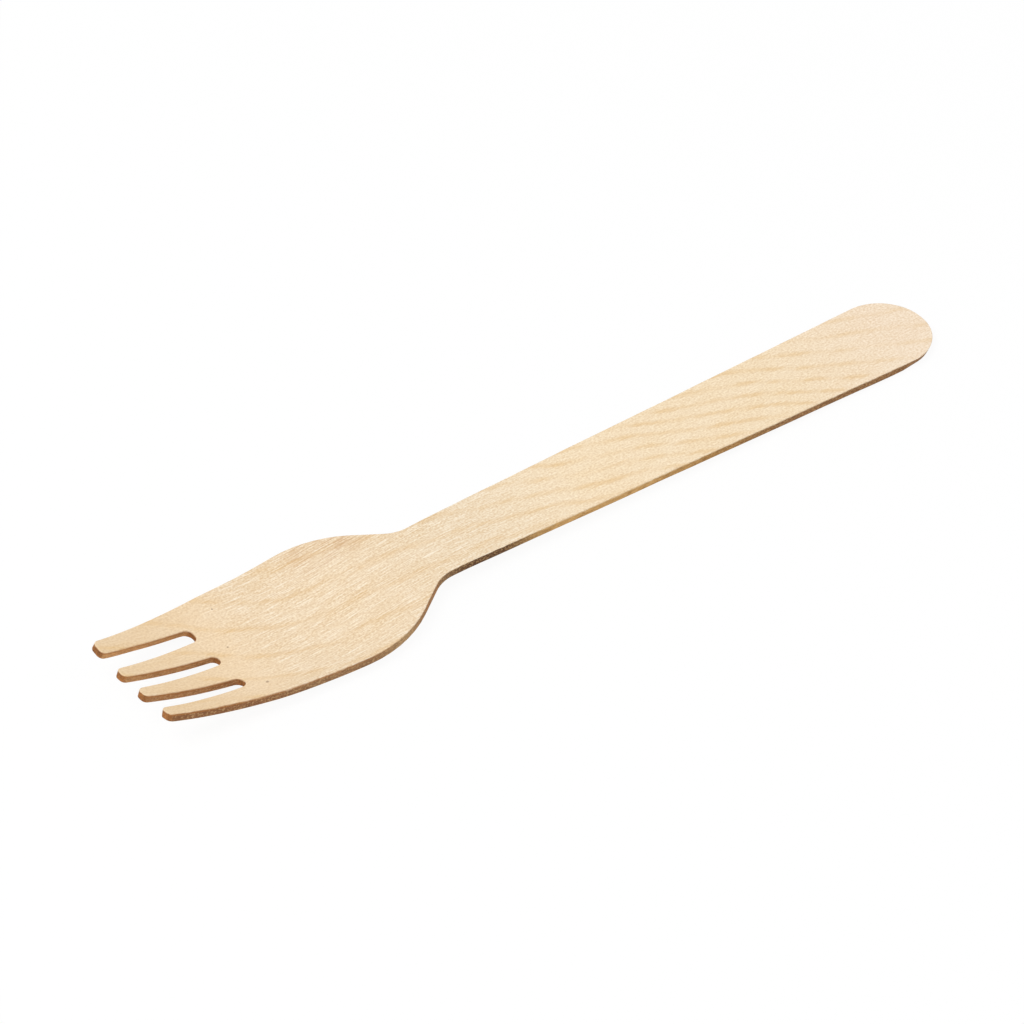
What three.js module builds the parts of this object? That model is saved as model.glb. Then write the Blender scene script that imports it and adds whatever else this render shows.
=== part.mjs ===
// A disposable wooden fork: one sheet of birch veneer, die-cut to an outline and hot-pressed.
// Millimetres, +Z up. The fork lies as it comes to rest on a table, with the hollow of its
// head facing up, the tines toward -X and the handle toward +X.
// A station is a distance along the fork, counted from the tine tips.

import * as THREE from 'three';
import { mergeVertices, toCreasedNormals } from 'three/addons/utils/BufferGeometryUtils.js';

// The sheet
const sheet_thickness = 1.4;
const edge_easing = 0.16;

// The handle: it widens steadily from the neck to its round end
const fork_length = 160;
const handle_end_width = 17.9;
const handle_end_radius = 8.6;

// The neck and the head
const neck_station = 54.3;
const neck_width = 12.9;
const neck_fillet = 6.5;
const shoulder_run = 12.1;
const head_width = 30.4;
const shoulder_radius = 20;
const side_station = 19.6;
const side_draw_in = 2;
const side_radius = 45;

// The tines and the three slots between them, widest at the tips
const outer_tine_tip_width = 2.6;
const inner_tine_tip_width = 2.25;
const inner_tine_root_width = 4.4;
const outer_slot_mouth = 3.8;
const outer_slot_root = 2.45;
const middle_slot_mouth = 3.3;
const middle_slot_root = 2.2;
const slot_length = 16.05;
const outer_corner_radius = 1;
const inner_corner_radius = 0.9;
const tip_line_skew = THREE.MathUtils.degToRad(5);
const slot_line_skew = THREE.MathUtils.degToRad(3.6);

// The press: seen from the side, an arc turns the neck down and a tighter one forms the bowl.
// Seen from the tips, the head has a level floor and its sides curl up.
const bowl_station = 26;
const bowl_depth = 2.95;
const bowl_radius = 78;
const neck_bend_radius = 146;
const dish_rise = 2.9;
const dish_floor_width = 6;
const dish_full_station = 12;

// How finely the arcs and the pressed surface are cut into facets
const arc_segments = 4;
const easing_segments = 2;
const pressed_facet_edge = 4;

// Where the bowl's arc meets the neck's, and where the neck's meets the straight handle
const bend_angle = Math.acos(1 - bowl_depth / (bowl_radius + neck_bend_radius));
const arcs_meet_station = bowl_station + bowl_radius * Math.sin(bend_angle);
const press_end_station = arcs_meet_station + neck_bend_radius * Math.sin(bend_angle);

// A closed outline whose corners are rounded by tangent arcs. Each corner is
// { at: Vector2, radius }, and a radius gives way where a side is too short for it.
function roundedOutline(corners) {
  const outline = new THREE.Shape();
  corners.forEach((corner, i) => {
    const before = corners.at(i - 1).at.clone().sub(corner.at);
    const after = corners[(i + 1) % corners.length].at.clone().sub(corner.at);
    const half_angle = before.angleTo(after) / 2;
    const longest_tangent = 0.49 * Math.min(before.length(), after.length());
    const tangent = Math.min(corner.radius / Math.tan(half_angle), longest_tangent);
    const radius = tangent * Math.tan(half_angle);
    before.normalize();
    after.normalize();
    const turns_left = before.cross(after) < 0;
    const middle = before.clone().add(after).setLength(radius / Math.sin(half_angle)).add(corner.at);
    const start = before.clone().multiplyScalar(tangent).add(corner.at);
    const finish = after.clone().multiplyScalar(tangent).add(corner.at);
    const start_angle = start.clone().sub(middle).angle();
    const finish_angle = finish.clone().sub(middle).angle();
    if (i === 0) outline.moveTo(start.x, start.y);
    outline.absarc(middle.x, middle.y, radius, start_angle, finish_angle, !turns_left);
  });
  outline.closePath();
  return outline;
}

// The corners on the +Y side, from the handle's end to the middle slot
function halfOutline() {
  const corner = (station, across, radius) => ({ at: new THREE.Vector2(station, across), radius });
  const middle_mouth = middle_slot_mouth / 2;
  const middle_root = middle_slot_root / 2;
  const mouth_inside = middle_mouth + inner_tine_tip_width;
  const mouth_outside = mouth_inside + outer_slot_mouth;
  const root_inside = middle_root + inner_tine_root_width;
  const root_outside = root_inside + outer_slot_root;
  return [
    corner(fork_length, handle_end_width / 2, handle_end_radius),
    corner(neck_station, neck_width / 2, neck_fillet),
    corner(neck_station - shoulder_run, head_width / 2, shoulder_radius),
    corner(side_station, head_width / 2 - side_draw_in, side_radius),
    corner(0, mouth_outside + outer_tine_tip_width, outer_corner_radius),
    corner(0, mouth_outside, inner_corner_radius),
    corner(slot_length, root_outside, outer_slot_root / 2),
    corner(slot_length, root_inside, outer_slot_root / 2),
    corner(0, mouth_inside, inner_corner_radius),
    corner(0, middle_mouth, inner_corner_radius),
    corner(slot_length, middle_root, middle_slot_root / 2),
  ];
}

// The whole blank. The tips, and the slots' round ends, lie on lines a few degrees off square.
function blankOutline() {
  const half = halfOutline();
  const mirrored = half.map(({ at, radius }) => ({ at: new THREE.Vector2(at.x, -at.y), radius }));
  const corners = [...half, ...mirrored.reverse()];
  for (const { at } of corners) {
    const is_tip = at.x === 0;
    const is_slot_end = at.x === slot_length;
    if (is_tip) at.x -= at.y * Math.tan(tip_line_skew);
    if (is_slot_end) at.x -= at.y * Math.tan(slot_line_skew);
  }
  return roundedOutline(corners);
}

// The flat blank, with both edges of its cut wall eased. Its top face is at z = 0.
function cutBlank() {
  const blank = new THREE.ExtrudeGeometry(blankOutline(), {
    depth: sheet_thickness - 2 * edge_easing,
    steps: 1,
    curveSegments: arc_segments,
    bevelThickness: edge_easing,
    bevelSize: edge_easing,
    bevelOffset: -edge_easing,
    bevelSegments: easing_segments,
  });
  blank.translate(0, 0, edge_easing - sheet_thickness);
  blank.deleteAttribute('normal');
  blank.deleteAttribute('uv');
  return mergeVertices(blank, 1e-4);
}

// A sheet as its points and its facets, where a facet is the numbers of its three points
function readFacets(geometry) {
  const points = [];
  const facets = [];
  for (let i = 0; i < geometry.attributes.position.count; i += 1) {
    points.push(new THREE.Vector3().fromBufferAttribute(geometry.attributes.position, i));
  }
  for (let i = 0; i < geometry.index.count; i += 3) {
    facets.push([0, 1, 2].map((k) => geometry.index.getX(i + k)));
  }
  return { points, facets };
}

// One name for the edge between two points, whichever comes first
function edgeName(a, b) {
  return `${Math.min(a, b)} ${Math.max(a, b)}`;
}

// The facets that meet at each edge
function facetsAtEdges(facets) {
  const edges = new Map();
  facets.forEach((facet, number) => {
    for (const k of [0, 1, 2]) {
      const name = edgeName(facet[k], facet[(k + 1) % 3]);
      edges.set(name, [...(edges.get(name) ?? []), number]);
    }
  });
  return edges;
}

// Two level facets that share an edge make a four-sided patch. Where the patch is cut along
// the diagonal that leaves thin facets, it is cut along the other one.
function turnThinFacets({ points, facets }) {
  const angleAt = (corner, a, b) => {
    const to_a = points[a].clone().sub(points[corner]);
    return to_a.angleTo(points[b].clone().sub(points[corner]));
  };
  let has_turned = true;
  while (has_turned) {
    has_turned = false;
    const fresh = new Set();
    for (const [one, other] of facetsAtEdges(facets).values()) {
      if (fresh.has(one) || fresh.has(other)) continue;
      const far_one = facets[one].find((point) => !facets[other].includes(point));
      const far_other = facets[other].find((point) => !facets[one].includes(point));
      const turn = facets[one].indexOf(far_one);
      const a = facets[one][(turn + 1) % 3];
      const b = facets[one][(turn + 2) % 3];
      const heights = [a, b, far_one, far_other].map((point) => points[point].z);
      const is_level = Math.max(...heights) - Math.min(...heights) < 1e-6;
      const far_angles = angleAt(far_one, a, b) + angleAt(far_other, a, b);
      if (!is_level || far_angles < Math.PI + 1e-4) continue;
      facets[one] = [far_one, a, far_other];
      facets[other] = [far_other, b, far_one];
      fresh.add(one).add(other);
      has_turned = true;
    }
  }
}

// Halves every edge that is too long to follow the press, and the facets beside it.
// The straight handle keeps its large facets.
function halveLongEdges(sheet) {
  const { points } = sheet;
  const middles = new Map();
  for (const name of facetsAtEdges(sheet.facets).keys()) {
    const [p, q] = name.split(' ').map((point) => points[point]);
    const is_bent = Math.min(p.x, q.x) < press_end_station;
    if (is_bent && p.distanceTo(q) > pressed_facet_edge) {
      middles.set(name, points.push(p.clone().lerp(q, 0.5)) - 1);
    }
  }
  const halved = [];
  const waiting = [...sheet.facets];
  while (waiting.length > 0) {
    const facet = waiting.pop();
    const sides = [0, 1, 2].map((k) => [facet[k], facet[(k + 1) % 3], facet[(k + 2) % 3]]);
    const long_sides = sides.filter(([a, b]) => middles.has(edgeName(a, b)));
    long_sides.sort(([a, b], [c, d]) => points[c].distanceTo(points[d]) - points[a].distanceTo(points[b]));
    if (long_sides.length === 0) {
      halved.push(facet);
      continue;
    }
    const [a, b, c] = long_sides[0];
    const middle = middles.get(edgeName(a, b));
    waiting.push([a, middle, c], [middle, b, c]);
  }
  sheet.facets = halved;
  return middles.size > 0;
}

// Cuts the blank into facets that are small and full enough to be bent
function cutFacetsFiner(geometry) {
  const sheet = readFacets(geometry);
  turnThinFacets(sheet);
  while (halveLongEdges(sheet)) turnThinFacets(sheet);
  return new THREE.BufferGeometry().setFromPoints(sheet.points).setIndex(sheet.facets.flat());
}

// Height of the pressed top face: the side profile, and the dish across the head
function pressedHeight(station, across) {
  let profile = 0;
  if (station < arcs_meet_station) {
    profile = bowl_radius - bowl_depth - Math.sqrt(bowl_radius ** 2 - (station - bowl_station) ** 2);
  } else if (station < press_end_station) {
    profile = Math.sqrt(neck_bend_radius ** 2 - (press_end_station - station) ** 2) - neck_bend_radius;
  }
  const dish = 1 - THREE.MathUtils.smoothstep(station, dish_full_station, neck_station);
  const beyond_floor = Math.max(0, Math.abs(across) - dish_floor_width / 2);
  const side_width = (head_width - dish_floor_width) / 2;
  return profile + dish_rise * dish * (beyond_floor / side_width) ** 2;
}

// Bends the sheet over the mould. Each point keeps its depth below the top face, measured
// square to the bent sheet, so the sheet stays equally thick and its cut walls stay square to it.
function press(sheet) {
  const position = sheet.attributes.position;
  const point = new THREE.Vector3();
  const outward = new THREE.Vector3();
  const reach = 0.01;
  for (let i = 0; i < position.count; i += 1) {
    point.fromBufferAttribute(position, i);
    const { x, y, z: depth } = point;
    const rise_along = pressedHeight(x + reach, y) - pressedHeight(x - reach, y);
    const rise_across = pressedHeight(x, y + reach) - pressedHeight(x, y - reach);
    outward.set(-rise_along, -rise_across, 2 * reach).normalize();
    point.set(x, y, pressedHeight(x, y)).addScaledVector(outward, depth);
    position.setXYZ(i, point.x, point.y, point.z);
  }
  return sheet;
}

// Lays the fork down: it tips about its handle's end until the bowl touches the table.
// The box around it is then centred on Z, with its lowest point at z = 0.
function layDown(fork) {
  const position = fork.attributes.position;
  const heel = new THREE.Vector2(-Infinity, Infinity);
  for (let i = 0; i < position.count; i += 1) {
    const is_lower = position.getZ(i) < heel.y - 1e-3;
    const is_level = Math.abs(position.getZ(i) - heel.y) < 1e-3;
    const is_handle = position.getX(i) > press_end_station;
    if (is_handle && (is_lower || (is_level && position.getX(i) > heel.x))) {
      heel.set(position.getX(i), position.getZ(i));
    }
  }
  let tip_angle = 0;
  for (let i = 0; i < position.count; i += 1) {
    const run = heel.x - position.getX(i);
    const drop = heel.y - position.getZ(i);
    if (run > edge_easing) tip_angle = Math.max(tip_angle, Math.atan2(drop, run));
  }
  fork.rotateY(tip_angle);
  fork.computeBoundingBox();
  const middle = fork.boundingBox.getCenter(new THREE.Vector3());
  return fork.translate(-middle.x, -middle.y, -fork.boundingBox.min.z);
}

const birch = new THREE.MeshStandardMaterial({
  name: 'birch',
  color: 0xefd7b5,
  roughness: 0.72,
  metalness: 0,
});
const crease_angle = THREE.MathUtils.degToRad(25);
const fork_geometry = toCreasedNormals(layDown(press(cutFacetsFiner(cutBlank()))), crease_angle);
const fork = new THREE.Mesh(fork_geometry, birch);
fork.name = 'fork';

const model = new THREE.Group();
model.name = 'wooden_fork';
model.add(fork);

export default model;
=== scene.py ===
"""A disposable wooden fork: one sheet of birch veneer, die-cut, pressed hot and laid on a table."""

import math

import bmesh
import bpy
from mathutils import Matrix, Vector, noise


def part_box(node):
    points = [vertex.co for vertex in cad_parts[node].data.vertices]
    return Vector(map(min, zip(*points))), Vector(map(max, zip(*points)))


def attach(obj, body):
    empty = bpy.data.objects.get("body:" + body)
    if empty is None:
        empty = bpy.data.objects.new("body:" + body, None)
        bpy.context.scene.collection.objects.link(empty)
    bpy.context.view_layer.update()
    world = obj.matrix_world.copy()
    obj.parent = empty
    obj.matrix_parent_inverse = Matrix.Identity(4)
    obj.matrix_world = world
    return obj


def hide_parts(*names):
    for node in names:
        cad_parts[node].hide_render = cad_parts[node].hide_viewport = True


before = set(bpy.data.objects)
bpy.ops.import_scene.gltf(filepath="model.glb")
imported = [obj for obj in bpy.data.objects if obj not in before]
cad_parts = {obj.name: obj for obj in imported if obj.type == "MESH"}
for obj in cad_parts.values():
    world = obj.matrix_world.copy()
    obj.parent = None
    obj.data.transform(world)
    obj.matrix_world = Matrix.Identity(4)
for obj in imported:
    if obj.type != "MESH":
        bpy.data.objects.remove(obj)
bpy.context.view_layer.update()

MM = 0.001

# The sheet, in millimetres. A station is a distance along the fork from the tine tips.
SHEET_THICKNESS = 1.4
EDGE_EASING = 0.16
EASING_SEGMENTS = 3

# The handle, the neck and the head
FORK_LENGTH = 160
HANDLE_END_WIDTH = 17.9
HANDLE_END_RADIUS = 8.6
NECK_STATION = 54.3
NECK_WIDTH = 12.9
NECK_FILLET = 6.5
SHOULDER_RUN = 12.1
HEAD_WIDTH = 30.4
SHOULDER_RADIUS = 20
SIDE_STATION = 19.6
SIDE_DRAW_IN = 2
SIDE_RADIUS = 45

# The tines and the three slots between them
OUTER_TINE_TIP_WIDTH = 2.6
INNER_TINE_TIP_WIDTH = 2.25
INNER_TINE_ROOT_WIDTH = 4.4
OUTER_SLOT_MOUTH = 3.8
OUTER_SLOT_ROOT = 2.45
MIDDLE_SLOT_MOUTH = 3.3
MIDDLE_SLOT_ROOT = 2.2
SLOT_LENGTH = 16.05
OUTER_CORNER_RADIUS = 1
INNER_CORNER_RADIUS = 0.9
TIP_LINE_SKEW = math.radians(5)
SLOT_LINE_SKEW = math.radians(3.6)

# The press
BOWL_STATION = 26
BOWL_DEPTH = 2.95
BOWL_RADIUS = 78
NECK_BEND_RADIUS = 146
DISH_RISE = 2.9
DISH_FLOOR_WIDTH = 6
DISH_FULL_STATION = 12
BEND_ANGLE = math.acos(1 - BOWL_DEPTH / (BOWL_RADIUS + NECK_BEND_RADIUS))
ARCS_MEET_STATION = BOWL_STATION + BOWL_RADIUS * math.sin(BEND_ANGLE)
PRESS_END_STATION = ARCS_MEET_STATION + NECK_BEND_RADIUS * math.sin(BEND_ANGLE)
LYING_TILT = math.radians(1.271)

# How finely the sheet is cut before it is pressed
ARC_STEP = math.radians(6)
RIM_BAND = 0.25
WALL_CUTS = (0.28, 0.7, 1.12)
HEAD_CUT = 1.0
HANDLE_CUT = 2.0

# The most of a side that a corner's arc may take
LONGEST_TANGENT_SHARE = 0.49

# How near two heights, or a point and a plane, are to count as one
SAME_LEVEL = 1e-6
SAME_PLANE = 1e-5

# How much of a face's normal is upright: more than the first on a level face, less than the second
# on a wall
LEVEL_FACE = 0.999
WALL_FACE = 0.5

# How far to either side the press's slope is read, in millimetres
SLOPE_REACH = 0.01

# How far the cut outline and the pressed face wander, and over what length, in millimetres. The
# seed keeps the wander the same in each run.
WANDER_SEED = 5
OUTLINE_WANDER = 0.05
OUTLINE_WANDER_LENGTH = 7.0
FACE_WANDER = 0.04
FACE_WANDER_LENGTH = 14.0

# The width that is left once the wood has shrunk across its grain, as a share
SHRINK_ACROSS = 0.992

# Small uneven places of the blank. Each pair says where a change begins and where it ends.
HEAD_LEAN = -0.12
HEAD_LEAN_RUN = (44, 58)
END_UNDERCUT = 0.52
END_UNDERCUT_RUN = (148, 152.5)
FAR_TINE_TRIM = 0.16
FAR_TINE_SIDE = (6, 7.2)
FAR_TINE_TIP = (-1.5, 5)
SLOT_SIDE_REACH = (0.7, 1.7)
SLOT_MOUTH_RUN = (0, 6)
SLOT_ROOT_RUN = (13.5, 17)

# Slot sides that are cut back, as (place across, how far across the side moves)
SLOT_SIDE_TRIMS = ((7.8, 0.25), (-1.5, -0.12), (-7.8, -0.2))


# Shader wires

class Wire:
    """A node's output, which takes part in sums as a number does."""

    def __init__(self, nodes, socket):
        self.nodes = nodes
        self.socket = socket

    def join(self, operation, *values):
        return self.nodes.node("ShaderNodeMath", {"operation": operation}, dict(enumerate(values)))

    def __add__(self, other):
        return self.join("ADD", self, other)

    def __radd__(self, other):
        return self.join("ADD", other, self)

    def __sub__(self, other):
        return self.join("SUBTRACT", self, other)

    def __rsub__(self, other):
        return self.join("SUBTRACT", other, self)

    def __mul__(self, other):
        return self.join("MULTIPLY", self, other)

    def __rmul__(self, other):
        return self.join("MULTIPLY", other, self)

    def __truediv__(self, other):
        return self.join("DIVIDE", self, other)

    def __rtruediv__(self, other):
        return self.join("DIVIDE", other, self)

    def __abs__(self):
        return self.join("ABSOLUTE", self)


class Nodes:
    """The node tree of one material, or of the world."""

    def __init__(self, tree):
        self.tree = tree
        tree.nodes.clear()

    def node(self, kind, settings, inputs, output=0):
        """Adds a node: its settings first, then the values or links of its sockets."""
        made = self.tree.nodes.new(kind)
        for name, value in settings.items():
            if name == "stops":
                self.lay_stops(made.color_ramp, value)
            elif name == "interpolation":
                made.color_ramp.interpolation = value
            else:
                setattr(made, name, value)
        for socket, value in inputs.items():
            if isinstance(value, Wire):
                self.tree.links.new(value.socket, made.inputs[socket])
            else:
                made.inputs[socket].default_value = value
        if made.outputs:
            return Wire(self, made.outputs[output])

    def lay_stops(self, ramp, stops):
        while len(ramp.elements) > 1:
            ramp.elements.remove(ramp.elements[-1])
        for number, (position, colour) in enumerate(stops):
            element = ramp.elements[0] if number == 0 else ramp.elements.new(position)
            element.position = position
            element.color = colour

    def fade(self, value, low, high):
        """0 below low and 1 above high, with a smooth step between them."""
        settings = {"interpolation_type": "SMOOTHSTEP"}
        return self.node("ShaderNodeMapRange", settings, {"Value": value, "From Min": low, "From Max": high})

    def spread(self, value, low, high):
        """The value from low to high, stretched to 0 to 1."""
        return self.node("ShaderNodeMapRange", {}, {"Value": value, "From Min": low, "From Max": high})

    def mix(self, factor, first, second):
        """The second colour over the first one."""
        settings = {"data_type": "RGBA", "blend_type": "MIX"}
        return self.node("ShaderNodeMix", settings, {0: factor, 6: first, 7: second}, output=2)

    def shade(self, factor, colour, tint):
        """The colour multiplied by a tint."""
        settings = {"data_type": "RGBA", "blend_type": "MULTIPLY"}
        return self.node("ShaderNodeMix", settings, {0: factor, 6: colour, 7: tint}, output=2)

    def grain(self, place, length, width, seed, detail=2.0, roughness=0.5):
        """Noise drawn out along the fork. Length and width are those of one streak, in millimetres."""
        scale = (1 / length, 1 / width, 1 / width)
        stretched = self.node("ShaderNodeMapping", {}, {"Vector": place, "Location": seed, "Scale": scale})
        inputs = {"Vector": stretched, "Scale": 1.0, "Detail": detail, "Roughness": roughness}
        return self.node("ShaderNodeTexNoise", {"noise_dimensions": "3D"}, inputs)

    def along(self, station, table, top):
        """A number that changes along the fork, by a table of stations and values up to top."""
        stops = [(at / FORK_LENGTH, (value / top,) * 3 + (1,)) for at, value in table]
        settings = {"interpolation": "CARDINAL", "stops": stops}
        return self.node("ShaderNodeValToRGB", settings, {0: station / FORK_LENGTH}) * top


def new_material(name):
    material = bpy.data.materials.new(name)
    material.use_nodes = True
    return material


def srgb(red, green, blue):
    """A colour read on a screen, 0 to 255, as the shader's own numbers."""
    values = []
    for channel in (red, green, blue):
        part = channel / 255
        values.append(part / 12.92 if part <= 0.04045 else ((part + 0.055) / 1.055) ** 2.4)
    return (*values, 1.0)


# The fork's shape

def half_outline():
    """The corners on the +Y side, as (station, across, fillet)."""
    middle_mouth = MIDDLE_SLOT_MOUTH / 2
    middle_root = MIDDLE_SLOT_ROOT / 2
    mouth_inside = middle_mouth + INNER_TINE_TIP_WIDTH
    mouth_outside = mouth_inside + OUTER_SLOT_MOUTH
    root_inside = middle_root + INNER_TINE_ROOT_WIDTH
    root_outside = root_inside + OUTER_SLOT_ROOT
    return [
        (FORK_LENGTH, HANDLE_END_WIDTH / 2, HANDLE_END_RADIUS),
        (NECK_STATION, NECK_WIDTH / 2, NECK_FILLET),
        (NECK_STATION - SHOULDER_RUN, HEAD_WIDTH / 2, SHOULDER_RADIUS),
        (SIDE_STATION, HEAD_WIDTH / 2 - SIDE_DRAW_IN, SIDE_RADIUS),
        (0, mouth_outside + OUTER_TINE_TIP_WIDTH, OUTER_CORNER_RADIUS),
        (0, mouth_outside, INNER_CORNER_RADIUS),
        (SLOT_LENGTH, root_outside, OUTER_SLOT_ROOT / 2),
        (SLOT_LENGTH, root_inside, OUTER_SLOT_ROOT / 2),
        (0, mouth_inside, INNER_CORNER_RADIUS),
        (0, middle_mouth, INNER_CORNER_RADIUS),
        (SLOT_LENGTH, middle_root, MIDDLE_SLOT_ROOT / 2),
    ]


def blank_corners():
    """The whole outline's corners. Tips and slot ends lie on lines a few degrees off square."""
    half = half_outline()
    mirrored = [(station, -across, fillet) for station, across, fillet in reversed(half)]
    corners = []
    for station, across, fillet in half + mirrored:
        is_tip = station == 0
        is_slot_end = station == SLOT_LENGTH
        if is_tip:
            station -= across * math.tan(TIP_LINE_SKEW)
        if is_slot_end:
            station -= across * math.tan(SLOT_LINE_SKEW)
        corners.append((Vector((station, across, 0)), fillet))
    return corners


def round_corner(bm, corner, before, after, fillet):
    """Spins one vertex about the middle of a corner's arc. Returns the arc's vertices in order."""
    to_before = before - corner
    to_after = after - corner
    half_angle = to_before.angle(to_after) / 2
    longest_tangent = LONGEST_TANGENT_SHARE * min(to_before.length, to_after.length)
    tangent = min(fillet / math.tan(half_angle), longest_tangent)
    radius = tangent * math.tan(half_angle)
    to_before.normalize()
    to_after.normalize()
    middle = corner + (to_before + to_after).normalized() * (radius / math.sin(half_angle))
    turn = math.pi - 2 * half_angle
    if to_before.cross(to_after).z > 0:
        turn = -turn
    steps = max(2, math.ceil(abs(turn) / ARC_STEP))
    first = bm.verts.new(corner + to_before * tangent)
    known = len(bm.verts)
    axis = Vector((0, 0, 1))
    bmesh.ops.spin(bm, geom=[first], cent=middle, axis=axis, angle=turn, steps=steps, use_duplicate=False)
    bm.verts.ensure_lookup_table()
    return [first] + bm.verts[known:]


def cut_blank(bm):
    """The flat blank with eased rims. Its top face is at z = 0."""
    corners = blank_corners()
    rim = []
    for number, (corner, fillet) in enumerate(corners):
        before = corners[number - 1][0]
        after = corners[(number + 1) % len(corners)][0]
        rim += round_corner(bm, corner, before, after, fillet)
    top = bm.faces.new(rim)
    made = bmesh.ops.extrude_face_region(bm, geom=[top])
    lower = [item for item in made["geom"] if isinstance(item, bmesh.types.BMVert)]
    bmesh.ops.translate(bm, verts=lower, vec=(0, 0, -SHEET_THICKNESS))
    bmesh.ops.recalc_face_normals(bm, faces=bm.faces[:])
    rims = [edge for edge in bm.edges if abs(edge.verts[0].co.z - edge.verts[1].co.z) < SAME_LEVEL]
    bmesh.ops.bevel(
        bm,
        geom=rims,
        offset=EDGE_EASING,
        offset_type="OFFSET",
        segments=EASING_SEGMENTS,
        profile=0.5,
        affect="EDGES",
        clamp_overlap=False,
        loop_slide=False,
        material=-1,
    )
    faces = [face for face in bm.faces if abs(face.normal.z) > LEVEL_FACE]
    bmesh.ops.inset_region(bm, faces=faces, thickness=RIM_BAND, depth=0, use_even_offset=True)


def slice_across(bm, point, normal, faces=None):
    """Cuts the faces along one plane and keeps both sides.

    A dictionary drops the repeated edges and vertices and keeps the order of the faces.
    """
    chosen = bm.faces[:] if faces is None else faces
    edges = dict.fromkeys(edge for face in chosen for edge in face.edges)
    verts = dict.fromkeys(vert for face in chosen for vert in face.verts)
    geom = [*verts, *edges, *chosen]
    bmesh.ops.bisect_plane(bm, geom=geom, dist=SAME_PLANE, plane_co=point, plane_no=normal)


def slice_blank(bm):
    """Cuts the blank finely enough to be bent: along and across the head, and across the handle."""
    for depth in WALL_CUTS:
        walls = [face for face in bm.faces if abs(face.normal.z) < WALL_FACE]
        slice_across(bm, (0, 0, -depth), (0, 0, 1), walls)
    reach = math.ceil(HEAD_WIDTH / 2)
    across = -reach
    while across <= reach:
        head = [face for face in bm.faces if min(v.co.x for v in face.verts) < PRESS_END_STATION]
        slice_across(bm, (0, across, 0), (0, 1, 0), head)
        across += HEAD_CUT
    station = 0
    while station < FORK_LENGTH:
        slice_across(bm, (station, 0, 0), (1, 0, 0))
        station += HEAD_CUT if station < PRESS_END_STATION else HANDLE_CUT
    bmesh.ops.triangulate(bm, faces=bm.faces[:], quad_method="BEAUTY", ngon_method="BEAUTY")


def pressed_height(station, across):
    """Height of the pressed top face: the side profile, and the dish across the head."""
    profile = 0
    if station < ARCS_MEET_STATION:
        profile = BOWL_RADIUS - BOWL_DEPTH - math.sqrt(BOWL_RADIUS ** 2 - (station - BOWL_STATION) ** 2)
    elif station < PRESS_END_STATION:
        profile = math.sqrt(NECK_BEND_RADIUS ** 2 - (PRESS_END_STATION - station) ** 2) - NECK_BEND_RADIUS
    dish = 1 - ease(station, DISH_FULL_STATION, NECK_STATION)
    beyond_floor = max(0, abs(across) - DISH_FLOOR_WIDTH / 2)
    side_width = (HEAD_WIDTH - DISH_FLOOR_WIDTH) / 2
    return profile + DISH_RISE * dish * (beyond_floor / side_width) ** 2


def press(bm):
    """Bends the blank over the mould. Each vertex keeps its depth, measured square to the sheet."""
    for vert in bm.verts:
        x, y, depth = vert.co
        rise_along = pressed_height(x + SLOPE_REACH, y) - pressed_height(x - SLOPE_REACH, y)
        rise_across = pressed_height(x, y + SLOPE_REACH) - pressed_height(x, y - SLOPE_REACH)
        outward = Vector((-rise_along, -rise_across, 2 * SLOPE_REACH)).normalized()
        vert.co = Vector((x, y, pressed_height(x, y))) + outward * depth


def ease(value, low, high):
    """0 below low and 1 above high, with a smooth step between them."""
    run = min(1, max(0, (value - low) / (high - low)))
    return run * run * (3 - 2 * run)


def wander(bm):
    """The die's cut wavers a little, and the pressed sheet isn't quite even.

    The wood has shrunk by a hair across its grain, the head leans aside, the cut runs in under the
    handle's round end, the far tine is a little short, and three slot sides are cut back.
    """
    noise.seed_set(WANDER_SEED)
    end_middle = Vector((FORK_LENGTH - HANDLE_END_WIDTH / 2, 0, 0))
    for vert in bm.verts:
        station = vert.co.x
        under = -vert.co.z / SHEET_THICKNESS
        sway = noise.noise_vector(vert.co / OUTLINE_WANDER_LENGTH) * OUTLINE_WANDER
        lift = noise.noise(vert.co.xy.to_3d() / FACE_WANDER_LENGTH) * FACE_WANDER
        lean = HEAD_LEAN * (1 - ease(station, *HEAD_LEAN_RUN))
        inward = (end_middle - vert.co.xy.to_3d()).normalized()
        undercut = inward * END_UNDERCUT * under * ease(station, *END_UNDERCUT_RUN)
        in_slots = ease(station, *SLOT_MOUTH_RUN) * (1 - ease(station, *SLOT_ROOT_RUN))
        at_tip = ease(vert.co.y, *FAR_TINE_SIDE) * (1 - ease(station, *FAR_TINE_TIP))
        trim = Vector((FAR_TINE_TRIM * at_tip, 0, 0))
        for side, moved in SLOT_SIDE_TRIMS:
            at_side = 1 - ease(abs(vert.co.y - side), *SLOT_SIDE_REACH)
            trim.y += moved * at_side * in_slots
        vert.co += Vector((sway.x, sway.y + lean, lift)) + undercut + trim
        vert.co.y *= SHRINK_ACROSS


def note_blank(bm):
    """Notes on each vertex its place in the flat blank and the way it faces there."""
    place = bm.verts.layers.float_vector.new("blank_place")
    facing = bm.verts.layers.float_vector.new("blank_facing")
    bm.normal_update()
    for vert in bm.verts:
        vert[place] = vert.co
        vert[facing] = vert.normal


def lay_down(bm):
    """Puts the fork where the CAD fork lies, in metres."""
    bmesh.ops.scale(bm, verts=bm.verts[:], vec=(MM, MM, MM))
    tilt = Matrix.Rotation(LYING_TILT, 3, "Y")
    bmesh.ops.rotate(bm, verts=bm.verts[:], cent=(0, 0, 0), matrix=tilt)
    low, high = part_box("fork")
    handle_end = max(vert.co.x for vert in bm.verts)
    underside = min(vert.co.z for vert in bm.verts)
    shift = Vector((high[0] - handle_end, (low[1] + high[1]) / 2, low[2] - underside))
    bmesh.ops.translate(bm, verts=bm.verts[:], vec=shift)


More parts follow.
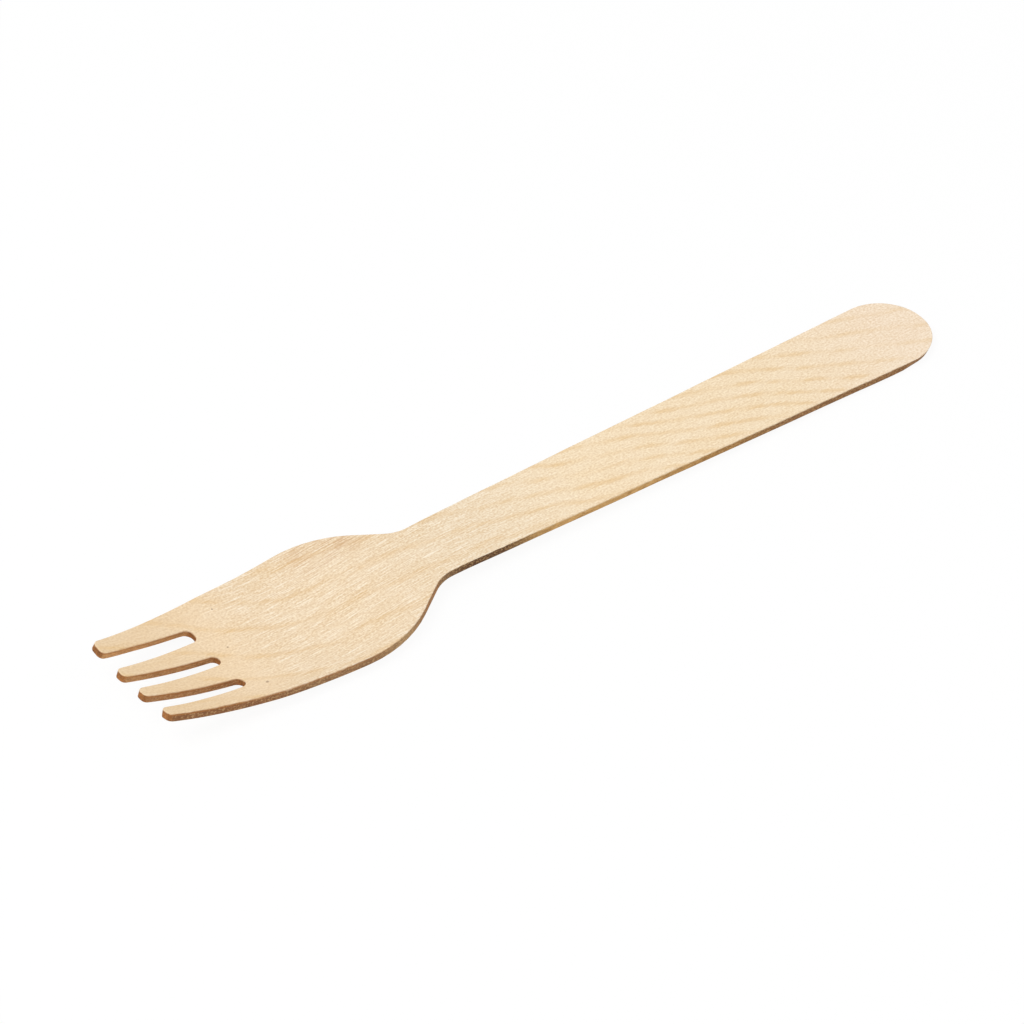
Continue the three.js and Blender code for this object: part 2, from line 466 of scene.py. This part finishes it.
def make_fork():
    bm = bmesh.new()
    cut_blank(bm)
    slice_blank(bm)
    note_blank(bm)
    wander(bm)
    press(bm)
    lay_down(bm)
    mesh = bpy.data.meshes.new("pressed_fork")
    bm.to_mesh(mesh)
    bm.free()
    mesh.shade_smooth()
    fork = bpy.data.objects.new("pressed_fork", mesh)
    bpy.context.scene.collection.objects.link(fork)
    fork.data.materials.append(pressed_birch())
    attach(fork, "root")
    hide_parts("fork")


# The wood

# Tones of the pressed face, from the tines to the handle's end
TINE_CREAM = srgb(240, 214, 176)
ROOT_CREAM = srgb(247, 224, 190)
HEAD_CREAM = srgb(254, 238, 210)
NECK_CREAM = srgb(255, 243, 218)
HANDLE_CREAM = srgb(254, 236, 204)
END_CREAM = srgb(255, 238, 216)
RING_TAN = srgb(234, 198, 141)
FIBRE_TAN = srgb(208, 171, 122)
# Pale white: painted sheen on the fibres, strongest in the palm, and the face's pale clouds
PALE_AND_SHEEN_WHITE = srgb(255, 247, 232)
PRESS_BROWN = srgb(198, 152, 102)
SPECK_BROWN = srgb(120, 76, 48)

# Tones of the cut wall
TOAST_TINES = srgb(155, 107, 69)
SLOT_TOAST_AND_LIGHT_NEAR = srgb(184, 130, 84)
# The slot walls' tones: toasted brown with painted light over it, lighter towards +Y, where the neighbouring
# tines shade the walls
SLOT_TOAST_AND_LIGHT_FAR = srgb(230, 174, 117)
TOAST_RIM = srgb(176, 112, 56)
TOAST_HEAD = srgb(166, 126, 88)
TOAST_SHOULDER = srgb(193, 157, 113)
# The neck's wall: toasted brown darkened with painted shade
NECK_TOAST_AND_SHADE = srgb(112, 77, 46)
TOAST_GOLD = srgb(226, 180, 114)
TOAST_TAWNY = srgb(194, 147, 86)
TOAST_HANDLE = srgb(160, 116, 74)
LAYER_SHADE = (0.5, 0.44, 0.38, 1)
PORE_GOLD = srgb(224, 184, 130)
END_GRAIN_ORANGE = srgb(188, 124, 66)
END_GRAIN_DARK = srgb(104, 65, 36)

# Growth rings: a ring line's number is its rise at that station, plus across times its closeness
RING_RISE = (
    (0, 0.74),
    (16, 1.83),
    (30, 2.93),
    (44, 3.32),
    (56, 3.71),
    (68, 4.13),
    (84, 5.46),
    (104, 7.66),
    (130, 11.05),
    (160, 14.47),
)
RING_RISE_TOP = 16
RING_CLOSENESS = ((0, 0.137), (56, 0.181), (100, 0.309), (160, 0.199))
RING_CLOSENESS_TOP = 0.4

# How deep under the top rim the pale wood goes before the cut wall is fully toasted, in millimetres
PALE_RIM_DEPTH = (
    (0, 0.26),
    (8, 0.28),
    (15, 0.38),
    (20, 0.46),
    (28, 0.38),
    (36, 0.28),
    (48, 0.26),
    (57, 0.14),
    (69, 0.17),
    (78, 0.4),
    (110, 0.4),
    (130, 0.34),
    (148, 0.28),
    (160, 0.28),
)
PALE_RIM_TOP = 0.6

# Between which depths the toasting gives way to the pale lower face, in millimetres
LOWER_RIM = (1.3, 1.39)

# How far the fibres stand out, in metres
FIBRE_HEIGHT = 0.00002

# Streaks of the grain: how long and wide one is in millimetres, and where its noise is read
RING_RAGGED = {"length": 2.6, "width": 0.26, "seed": (3, 1, 7), "detail": 3.0}
RING_DRIFT = {"length": 24, "width": 7, "seed": (11, 5, 2)}
RING_PATCHES = {"length": 16, "width": 2.4, "seed": (2, 9, 4)}
FACE_FIBRES = {"length": 4.5, "width": 0.16, "seed": (5, 3, 1)}
FACE_THREADS = {"length": 1.1, "width": 0.2, "seed": (0, 0, 0), "detail": 1.0}
FACE_MOTTLE = {"length": 0.42, "width": 0.34, "seed": (8, 2, 6), "detail": 1.0}
FACE_CLOUD = {"length": 12, "width": 3.5, "seed": (4, 7, 3)}
FACE_BURNISH = {"length": 4.0, "width": 0.3, "seed": (6, 1, 9), "detail": 3.0}
WALL_WOBBLE = {"length": 7, "width": 2, "seed": (2, 2, 8)}
WALL_LAYERS = {"length": 1.3, "width": 0.2, "seed": (9, 9, 1), "roughness": 0.65}
WALL_PORES = {"length": 0.34, "width": 0.24, "seed": (7, 1, 5), "detail": 1.0}
WALL_SCORCH = {"length": 2.2, "width": 0.8, "seed": (1, 6, 3), "detail": 3.0, "roughness": 0.7}
RIM_CHIPS = {"length": 1.3, "width": 0.8, "seed": (3, 8, 2), "detail": 3.0}

# The stretch of the noise that becomes 0 to 1: the narrower it is, the more contrast
SHARP = (0.34, 0.66)
MEDIUM = (0.32, 0.68)
SOFT = (0.3, 0.7)

# Where a finish, the painted sheen and the slots' painted light come in or go out, in millimetres along the
# fork or across it
PALM_IN = (17, 27)
PALM_OUT = (60, 90)
CALM_END_IN = (125, 152)
BURNISH_IN = (33, 42)
BURNISH_OUT = (48, 58)
BURNISH_ACROSS = (6, 10.5)
# Where the slot walls' painted light lies, and the span across which it goes from the near tone to the far
# one
SLOTS_OUT = (15, 18)
SLOTS_ACROSS = (8.7, 9.6)
SLOT_NEAR_TO_FAR = (-6, 8)
RIM_LINE_OUT = (24, 44)
FAR_SIDE_ACROSS = (-1, 1)

# How much further along the fork the far wall's tones are read, in millimetres
FAR_SIDE_LEAD = 28

# How strongly a finish shows, from 0 to 1
CLOUD_STRENGTH = 0.14
BURNISH_STRENGTH = 0.6
FLECK_STRENGTH = 0.55
PORE_STRENGTH = 0.36
RIM_LINE_STRENGTH = 0.6

# The most that ring lines and the wall's tones stray, from one side to the other, in millimetres
RING_RAGGED_SPAN = 2.1
RING_DRIFT_SPAN = 1.6
WALL_WOBBLE_SPAN = 8

# The wood's surface
FACE_ROUGHNESS = 0.62
WALL_EXTRA_ROUGHNESS = 0.2
WOOD_SPECULAR = 0.3

# Bark flecks in the face, as (station, across, radius)
BARK_FLECKS = (
    (19.2, -9.2, 0.28),
    (18.7, 1.8, 0.17),
    (21.0, 10.2, 0.17),
)


def ring_lines(nodes, place, station, across):
    """Soft tan lines where the knife met the growth rings, broken up along the fibres."""
    rise = nodes.along(station, RING_RISE, RING_RISE_TOP)
    closeness = nodes.along(station, RING_CLOSENESS, RING_CLOSENESS_TOP)
    ragged = nodes.grain(place, **RING_RAGGED) - 0.5
    drift = nodes.grain(place, **RING_DRIFT) - 0.5
    number = rise + (across + ragged * RING_RAGGED_SPAN + drift * RING_DRIFT_SPAN) * closeness
    phase = number.join("FRACT", number + 0.5)
    from_line = abs(phase - 0.5)
    line = 1 - nodes.fade(from_line / closeness, 0.1, 0.95)
    patchy = nodes.fade(nodes.grain(place, **RING_PATCHES), 0.36, 0.62)
    return line * (patchy * 0.75 + 0.25)


def face_wood(nodes, place, station, across):
    """Colour of the pressed faces. Returns the colour and the height of its fibres."""
    tone_stops = [
        (0.0, TINE_CREAM),
        (0.06, TINE_CREAM),
        (0.115, ROOT_CREAM),
        (0.17, HEAD_CREAM),
        (0.29, HEAD_CREAM),
        (0.36, NECK_CREAM),
        (0.42, NECK_CREAM),
        (0.54, HANDLE_CREAM),
        (0.8, HANDLE_CREAM),
        (0.96, END_CREAM),
    ]
    tone = nodes.node("ShaderNodeValToRGB", {"stops": tone_stops}, {0: station / FORK_LENGTH})
    palm = nodes.fade(station, *PALM_IN) * (1 - nodes.fade(station, *PALM_OUT))
    calm_end = nodes.fade(station, *CALM_END_IN)
    rings = ring_lines(nodes, place, station, across)

    fibres = nodes.spread(nodes.grain(place, **FACE_FIBRES), *SHARP)
    threads = nodes.spread(nodes.grain(place, **FACE_THREADS), *MEDIUM)
    mottle = nodes.spread(nodes.grain(place, **FACE_MOTTLE), *MEDIUM)
    cloud = nodes.spread(nodes.grain(place, **FACE_CLOUD), *SOFT)

    colour = nodes.mix(rings * (0.72 - palm * 0.14 - calm_end * 0.3), tone, RING_TAN)
    colour = nodes.mix((1 - fibres) * (palm * 0.28 + 0.12), colour, FIBRE_TAN)
    colour = nodes.mix((1 - threads) * (palm * 0.1 + 0.16), colour, FIBRE_TAN)
    colour = nodes.mix((1 - mottle) * (palm * 0.16 + 0.5), colour, FIBRE_TAN)
    # Painted sheen: bright streaks on the fibres' crests, strongest in the palm
    colour = nodes.mix(nodes.fade(fibres, 0.6, 1.0) * (palm * 0.4 + 0.1), colour, PALE_AND_SHEEN_WHITE)
    # Pale clouds, where the wood's tone differs at random
    colour = nodes.mix(cloud * CLOUD_STRENGTH, colour, PALE_AND_SHEEN_WHITE)

    along_shoulder = nodes.fade(station, *BURNISH_IN) * (1 - nodes.fade(station, *BURNISH_OUT))
    shoulder = nodes.fade(across, *BURNISH_ACROSS) * along_shoulder
    burnish = shoulder * nodes.fade(nodes.grain(place, **FACE_BURNISH), 0.44, 0.64)
    colour = nodes.mix(burnish * BURNISH_STRENGTH, colour, PRESS_BROWN)
    colour = nodes.mix(specks(nodes, place), colour, SPECK_BROWN)
    height = fibres * (palm * 0.6 + 0.2) + threads * 0.3 + mottle * 0.25
    return colour, height


def specks(nodes, place):
    """How much of a tiny bark fleck shows at each place on the face."""
    shown = 0.0
    for fleck_station, fleck_across, radius in BARK_FLECKS:
        ends = {0: place, 1: (fleck_station, fleck_across, 0)}
        run = nodes.node("ShaderNodeVectorMath", {"operation": "DISTANCE"}, ends, output="Value")
        shown = shown + (1 - nodes.fade(run, radius * 0.5, radius * 1.3))
    return shown * FLECK_STRENGTH


def wall_wood(nodes, place, station, across, depth, facing_x):
    """Colour of the cut wall: toasted and layered, with end grain where it faces along the fork, painted
    light on the slot walls and painted shade at the neck.

    Returns the colour and the height of its layers and pores.
    """
    tone_stops = [
        (0.0, TOAST_TINES),
        (0.1, TOAST_TINES),
        (0.15, TOAST_HEAD),
        (0.22, TOAST_HEAD),
        (0.26, TOAST_SHOULDER),
        (0.315, TOAST_SHOULDER),
        # Painted shade at the neck, over the toasted brown
        (0.365, NECK_TOAST_AND_SHADE),
        (0.425, NECK_TOAST_AND_SHADE),
        (0.47, TOAST_GOLD),
        (0.59, TOAST_GOLD),
        (0.68, TOAST_TAWNY),
        (0.77, TOAST_HANDLE),
    ]
    wobble = nodes.grain(place, **WALL_WOBBLE) * WALL_WOBBLE_SPAN - WALL_WOBBLE_SPAN / 2
    far_side = nodes.fade(across, *FAR_SIDE_ACROSS) * FAR_SIDE_LEAD
    toasted_at = (station + wobble + far_side) / FORK_LENGTH
    side = nodes.node("ShaderNodeValToRGB", {"stops": tone_stops}, {0: toasted_at})
    layers = nodes.spread(nodes.grain(place, **WALL_LAYERS), *MEDIUM)
    pores = nodes.spread(nodes.grain(place, **WALL_PORES), *MEDIUM)
    # Painted light: in the slots the toasted wall is made lighter, more so towards +Y, where the
    # neighbouring tines shade it
    in_slot = (1 - nodes.fade(abs(across), *SLOTS_ACROSS)) * (1 - nodes.fade(station, *SLOTS_OUT))
    slot_toast_and_light = nodes.mix(nodes.spread(across, *SLOT_NEAR_TO_FAR), SLOT_TOAST_AND_LIGHT_NEAR, SLOT_TOAST_AND_LIGHT_FAR)
    side = nodes.mix(in_slot, side, slot_toast_and_light)
    scorch = nodes.spread(nodes.grain(place, **WALL_SCORCH), *MEDIUM)
    side = nodes.shade((1 - layers) * 0.7 + (1 - scorch) * 0.35, side, LAYER_SHADE)
    side = nodes.mix(nodes.fade(pores, 0.45, 0.95) * PORE_STRENGTH, side, PORE_GOLD)
    under_rim = nodes.fade(depth, 0.1, 0.24) * (1 - nodes.fade(depth, 0.3, 0.55))
    rim_line = under_rim * (1 - nodes.fade(station, *RIM_LINE_OUT))
    side = nodes.mix(rim_line * RIM_LINE_STRENGTH, side, TOAST_RIM)
    end = nodes.mix(scorch * 0.5 + pores * 0.3 + layers * 0.2, END_GRAIN_DARK, END_GRAIN_ORANGE)
    end_share = nodes.fade(abs(facing_x), 0.25, 0.8)
    return nodes.mix(end_share, side, end), layers * 0.6 + pores * 0.4


def pressed_birch():
    """The wood: face and cut wall, parted by how deep a place lies under the blank's top face."""
    material = new_material("pressed_birch")
    nodes = Nodes(material.node_tree)
    place = nodes.node("ShaderNodeAttribute", {"attribute_name": "blank_place"}, {}, output="Vector")
    facing = nodes.node("ShaderNodeAttribute", {"attribute_name": "blank_facing"}, {}, output="Vector")
    station = nodes.node("ShaderNodeSeparateXYZ", {}, {0: place}, output="X")
    across = nodes.node("ShaderNodeSeparateXYZ", {}, {0: place}, output="Y")
    facing_x = nodes.node("ShaderNodeSeparateXYZ", {}, {0: facing}, output="X")
    depth = nodes.node("ShaderNodeSeparateXYZ", {}, {0: place}, output="Z") * -1
    face, face_height = face_wood(nodes, place, station, across)
    wall, wall_height = wall_wood(nodes, place, station, across, depth, facing_x)
    chipped = nodes.spread(nodes.grain(place, **RIM_CHIPS), *SOFT) - 0.5
    pale_depth = nodes.along(station, PALE_RIM_DEPTH, PALE_RIM_TOP)
    share = depth / pale_depth * (chipped * 0.6 + 1)
    on_wall = nodes.fade(share, 0.08, 1.0) * (1 - nodes.fade(depth, *LOWER_RIM))
    colour = nodes.mix(on_wall, face, wall)
    height = face_height * (1 - on_wall) + wall_height * on_wall
    bump = nodes.node(
        "ShaderNodeBump",
        {},
        {"Strength": 1.0, "Distance": FIBRE_HEIGHT, "Height": height},
    )
    shader = nodes.node(
        "ShaderNodeBsdfPrincipled",
        {},
        {
            "Base Color": colour,
            "Roughness": FACE_ROUGHNESS + on_wall * WALL_EXTRA_ROUGHNESS,
            "Specular IOR Level": WOOD_SPECULAR,
            "Normal": bump,
        },
    )
    nodes.node("ShaderNodeOutputMaterial", {}, {"Surface": shader})
    return material


# The floor, the light and the camera

FLOOR_RADIUS = 4.0
FLOOR_DROP = 0.00005
FLOOR_WHITE_SHARE = 0.93
SOFT_LIGHT = 0.55


def looked_at(nodes):
    """1 where the camera, a reflection or glass looks, and 0 for soft light."""
    camera = nodes.node("ShaderNodeLightPath", {}, {}, output="Is Camera Ray")
    glossy = nodes.node("ShaderNodeLightPath", {}, {}, output="Is Glossy Ray")
    through = nodes.node("ShaderNodeLightPath", {}, {}, output="Is Transmission Ray")
    return camera + glossy + through


def lit_white(nodes, own_shader, share):
    """Mixes plain white over a shader where it is looked at."""
    white = nodes.node("ShaderNodeEmission", {}, {"Color": (1, 1, 1, 1), "Strength": 1.0})
    return nodes.node("ShaderNodeMixShader", {}, {0: looked_at(nodes) * share, 1: own_shader, 2: white})


def make_floor():
    bm = bmesh.new()
    bmesh.ops.create_circle(bm, cap_ends=True, segments=64, radius=FLOOR_RADIUS)
    bmesh.ops.translate(bm, verts=bm.verts[:], vec=(0, 0, -FLOOR_DROP))
    mesh = bpy.data.meshes.new("floor")
    bm.to_mesh(mesh)
    bm.free()
    material = new_material("pale_floor")
    nodes = Nodes(material.node_tree)
    paper = nodes.node(
        "ShaderNodeBsdfPrincipled",
        {},
        {"Base Color": (0.96, 0.96, 0.96, 1), "Roughness": 0.9, "Specular IOR Level": 0.1},
    )
    nodes.node("ShaderNodeOutputMaterial", {}, {"Surface": lit_white(nodes, paper, FLOOR_WHITE_SHARE)})
    mesh.materials.append(material)
    floor = bpy.data.objects.new("floor", mesh)
    bpy.context.scene.collection.objects.link(floor)


def make_world():
    world = bpy.data.worlds.new("studio")
    bpy.context.scene.world = world
    world.use_nodes = True
    nodes = Nodes(world.node_tree)
    soft = nodes.node("ShaderNodeBackground", {}, {"Color": (1, 1, 1, 1), "Strength": SOFT_LIGHT})
    white = nodes.node("ShaderNodeBackground", {}, {"Color": (1, 1, 1, 1), "Strength": 1.0})
    mixed = nodes.node("ShaderNodeMixShader", {}, {0: looked_at(nodes), 1: soft, 2: white})
    nodes.node("ShaderNodeOutputWorld", {}, {"Surface": mixed})


def make_lamp(name, place, size, watts):
    light = bpy.data.lights.new(name, "AREA")
    light.shape = "SQUARE"
    light.size = size
    light.energy = watts
    lamp = bpy.data.objects.new(name, light)
    lamp.location = place
    lamp.rotation_mode = "QUATERNION"
    lamp.rotation_quaternion = Vector(place).to_track_quat("Z", "Y")
    bpy.context.scene.collection.objects.link(lamp)


def make_camera():
    """The photograph's camera: where it stands, and its axes as degrees round, up and rolled."""
    place = Vector((-0.273332, -0.391484, 0.431499))
    azimuth = math.radians(-34.280)
    elevation = math.radians(42.148)
    roll = math.radians(-1.662)
    level = math.cos(elevation)
    back = Vector((math.sin(azimuth) * level, -math.cos(azimuth) * level, math.sin(elevation)))
    side = Vector((math.cos(azimuth), math.sin(azimuth), 0))
    turned = Matrix((side, back.cross(side), back)).transposed()
    data = bpy.data.cameras.new("camera")
    data.sensor_width = 36
    data.lens = 136.84
    data.clip_start = 0.01
    data.clip_end = 20
    camera = bpy.data.objects.new("camera", data)
    camera.matrix_world = Matrix.Translation(place) @ (turned @ Matrix.Rotation(roll, 3, "Z")).to_4x4()
    bpy.context.scene.collection.objects.link(camera)
    bpy.context.scene.camera = camera


def set_view():
    bpy.context.scene.view_settings.view_transform = "Standard"


make_camera()
make_floor()
make_world()
make_lamp("key_lamp", place=(-0.55, 0.05, 1.05), size=0.8, watts=7.6)
make_lamp("fill_lamp", place=(0.7, -0.6, 0.8), size=0.9, watts=2.0)
make_fork()
set_view()
